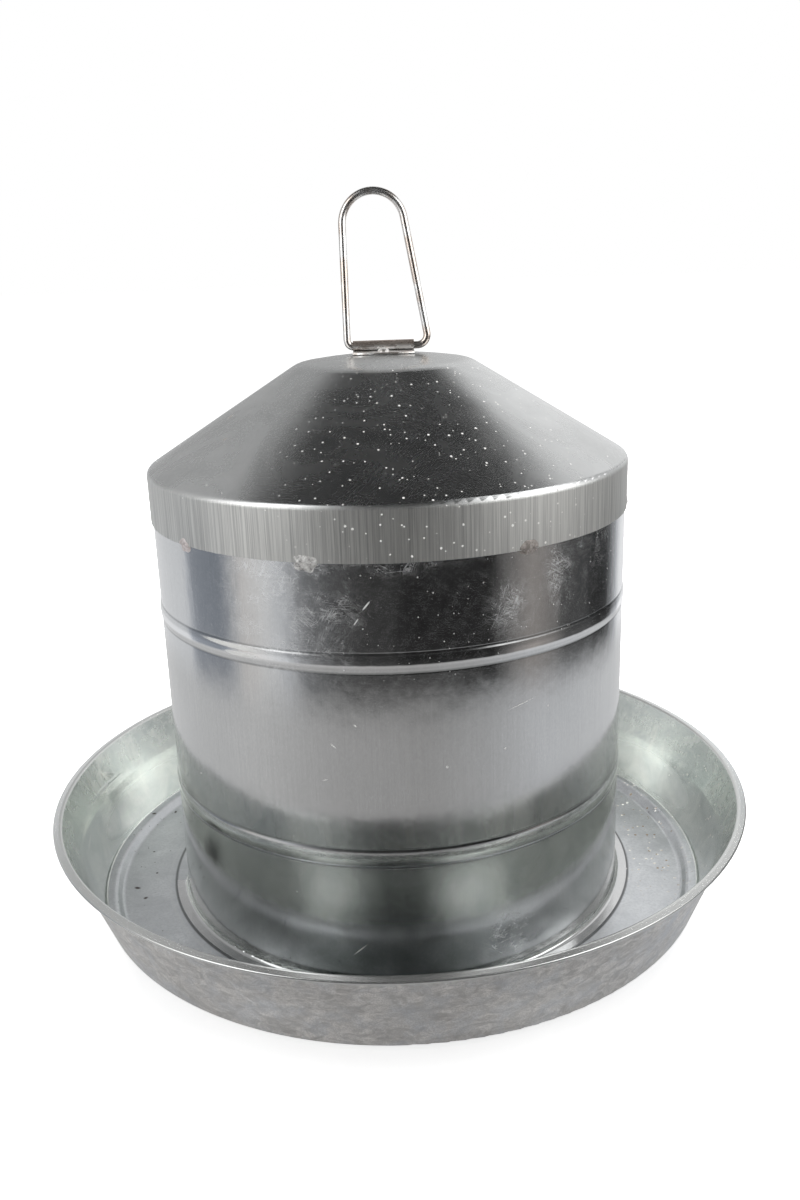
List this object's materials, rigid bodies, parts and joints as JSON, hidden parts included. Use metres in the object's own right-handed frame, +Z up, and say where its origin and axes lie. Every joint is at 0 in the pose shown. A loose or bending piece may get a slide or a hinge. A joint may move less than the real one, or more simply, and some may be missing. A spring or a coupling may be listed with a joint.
{
  "type": "poultry drinker",
  "caption": "Galvanised fountain drinker for poultry: a cylindrical bell with a conical cap and a wire carrying loop stands in a shallow flared tray.",
  "frame": {"origin": "centre of the tray's underside, on the ground", "axes": "+Z up along the bell's axis, -Y towards the front that the picture shows, +X to the front's right"},
  "size_m": [0.36, 0.36, 0.3483],
  "materials": {
    "tray_steel": "galvanised, dull and spangled",
    "bell_steel": "galvanised, bright",
    "solder": "rough dull solder",
    "sealant": "matt",
    "clip_steel": "bright zinc plate",
    "wire_steel": "bright drawn wire"
  },
  "bodies": {
    "drinker": {"tray_floor": "tray_steel", "tray_wall": "tray_steel", "bell_body": "bell_steel", "bell_cap": "bell_steel", "cap_seal": "sealant", "cap_solder_tack_1": "solder", "cap_solder_tack_2": "solder", "cap_solder_tack_3": "solder", "cap_solder_tack_4": "solder", "cap_solder_tack_5": "solder", "cap_solder_tack_6": "solder", "cap_solder_tack_7": "solder", "handle_clip": "clip_steel", "handle_rivet": "clip_steel", "rivet_washer": "clip_steel"},
    "handle": {"handle_loop": "wire_steel"}
  },
  "joints": [
    {"name": "handle_hinge", "type": "hinge", "parent": "drinker", "child": "handle", "pos_m": [0, 0.0063, 0.27555], "axis": [1, 0, 0], "range_deg": [-97.5, 95]}
  ]
}
